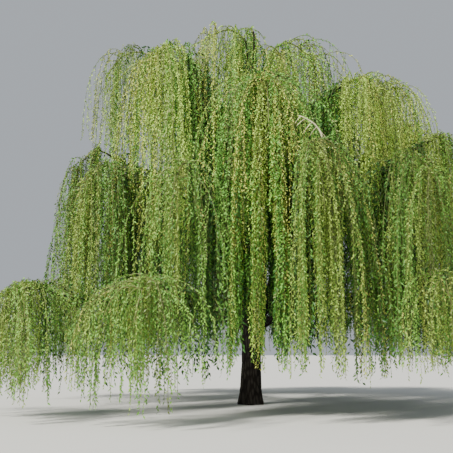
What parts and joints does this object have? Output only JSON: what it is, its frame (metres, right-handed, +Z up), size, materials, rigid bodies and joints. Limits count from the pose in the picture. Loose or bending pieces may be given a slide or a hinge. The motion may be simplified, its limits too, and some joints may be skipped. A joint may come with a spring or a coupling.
{
  "type": "weeping willow tree",
  "caption": "Rooted weeping willow: short flared trunk, high arching boughs and long hanging curtains of yellow-green foliage down to a low skirt.",
  "frame": {"origin": "middle of the flat cut under the trunk, at ground level", "axes": "+Z up along the trunk, +X to the right and -Y to the front, the side that the picture shows"},
  "size_m": [15.1032, 14.5928, 11.9147],
  "materials": {
    "bark": "rough furrowed grey-brown bark",
    "dead_wood": "weathered pale bare wood",
    "foliage": "young yellow-green leaves, satin, on thin olive twigs"
  },
  "bodies": {
    "root": {"trunk": "bark", "bough_top_1": "bark", "bough_top_2": "bark", "bough_top_3": "bark", "bough_top_4": "bark", "bough_shoulder_1": "bark", "bough_shoulder_2": "bark", "bough_shoulder_3": "bark", "bough_shoulder_4": "bark", "bough_shoulder_5": "bark", "bough_shoulder_6": "bark", "bough_shoulder_7": "bark", "bough_side_1": "bark", "bough_side_2": "bark", "bough_side_3": "bark", "bough_side_4": "bark", "bough_side_5": "bark", "bough_side_6": "bark", "bough_side_7": "bark", "bough_side_8": "bark", "bough_side_9": "bark", "bough_side_10": "bark", "bough_skirt_1": "bark", "bough_skirt_2": "bark", "bough_skirt_3": "bark", "bough_skirt_4": "bark", "bough_skirt_5": "bark", "bough_skirt_6": "bark", "bough_skirt_7": "bark", "bough_skirt_8": "bark", "dead_limb": "dead_wood", "foliage_top_1": "foliage", "foliage_top_2": "foliage", "foliage_top_3": "foliage", "foliage_top_4": "foliage", "foliage_shoulder_1": "foliage", "foliage_shoulder_2": "foliage", "foliage_shoulder_3": "foliage", "foliage_shoulder_4": "foliage", "foliage_shoulder_5": "foliage", "foliage_shoulder_6": "foliage", "foliage_shoulder_7": "foliage", "foliage_side_1": "foliage", "foliage_side_2": "foliage", "foliage_side_3": "foliage", "foliage_side_4": "foliage", "foliage_side_5": "foliage", "foliage_side_6": "foliage", "foliage_side_7": "foliage", "foliage_side_8": "foliage", "foliage_side_9": "foliage", "foliage_side_10": "foliage", "foliage_skirt_1": "foliage", "foliage_skirt_2": "foliage", "foliage_skirt_3": "foliage", "foliage_skirt_4": "foliage", "foliage_skirt_5": "foliage", "foliage_skirt_6": "foliage", "foliage_skirt_7": "foliage", "foliage_skirt_8": "foliage"}
  },
  "joints": []
}
